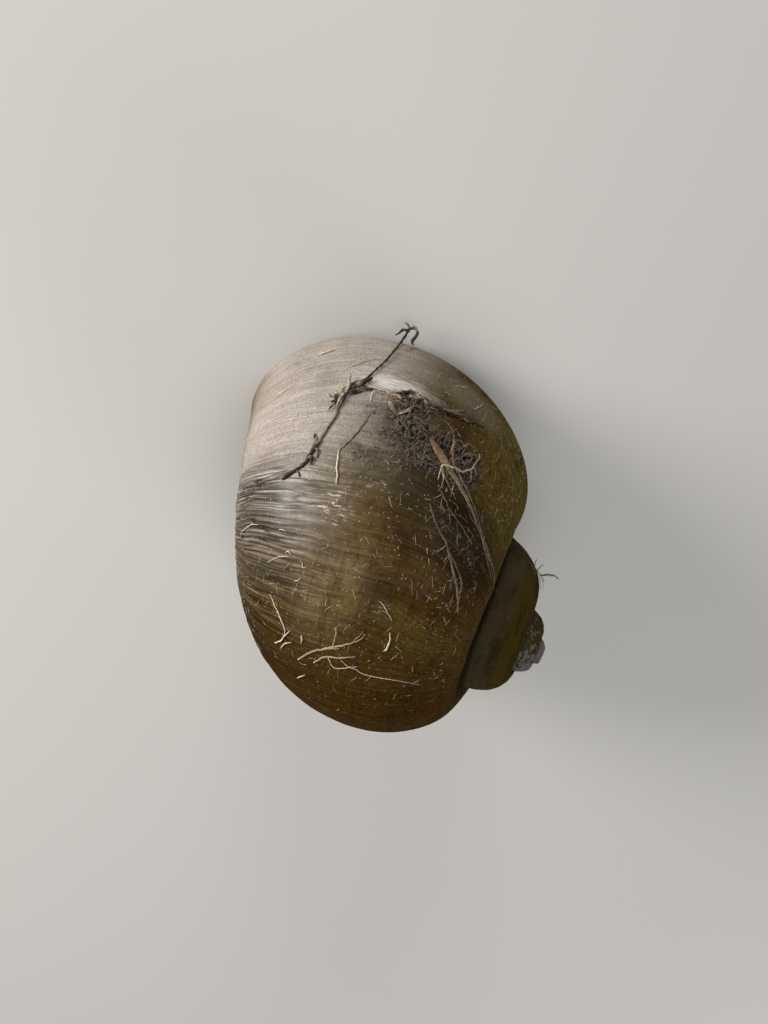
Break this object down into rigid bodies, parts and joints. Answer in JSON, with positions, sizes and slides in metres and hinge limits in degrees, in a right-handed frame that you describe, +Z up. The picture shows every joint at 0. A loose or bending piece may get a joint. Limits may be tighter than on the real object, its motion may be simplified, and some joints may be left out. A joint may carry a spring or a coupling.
{
  "type": "apple snail model",
  "caption": "Life-size apple snail drawn into its olive-brown coiled shell, lying on its mouth with the lid shut and dry marsh litter on its back.",
  "frame": {"origin": "centre of the bounding box's base, on the floor that the mouth and belly rest on", "axes": "+Z up, +Y away from the viewer of the reference view, +X to the viewer's right; the spire points up, back and to the left"},
  "size_m": [0.0782, 0.0996, 0.0652],
  "materials": {
    "periostracum": "glossy horny skin over shell, olive-brown with fine growth lines",
    "old_shell": "duller horny skin over shell, scuffed",
    "worn_shell": "bare chalky shell, pitted and matt",
    "lip_shell": "thin new shell, glossy",
    "callus_shell": "smooth pale glaze",
    "horn": "horn with growth rings, satin",
    "flesh": "dark moist flesh",
    "bark": "dark rough dead twig",
    "straw": "pale dry plant fibre, matt"
  },
  "bodies": {
    "root": {"shell_body_whorl": "periostracum", "shell_penultimate_whorl": "periostracum", "shell_third_whorl": "old_shell", "shell_apex_whorls": "worn_shell", "shell_outer_lip": "lip_shell", "shell_parietal_callus": "callus_shell", "operculum": "horn", "mantle_edge": "flesh", "litter_twig": "bark", "litter_grass_blade": "straw", "litter_rootlet": "straw", "litter_long_straw": "straw", "litter_short_straw": "straw"}
  },
  "joints": []
}
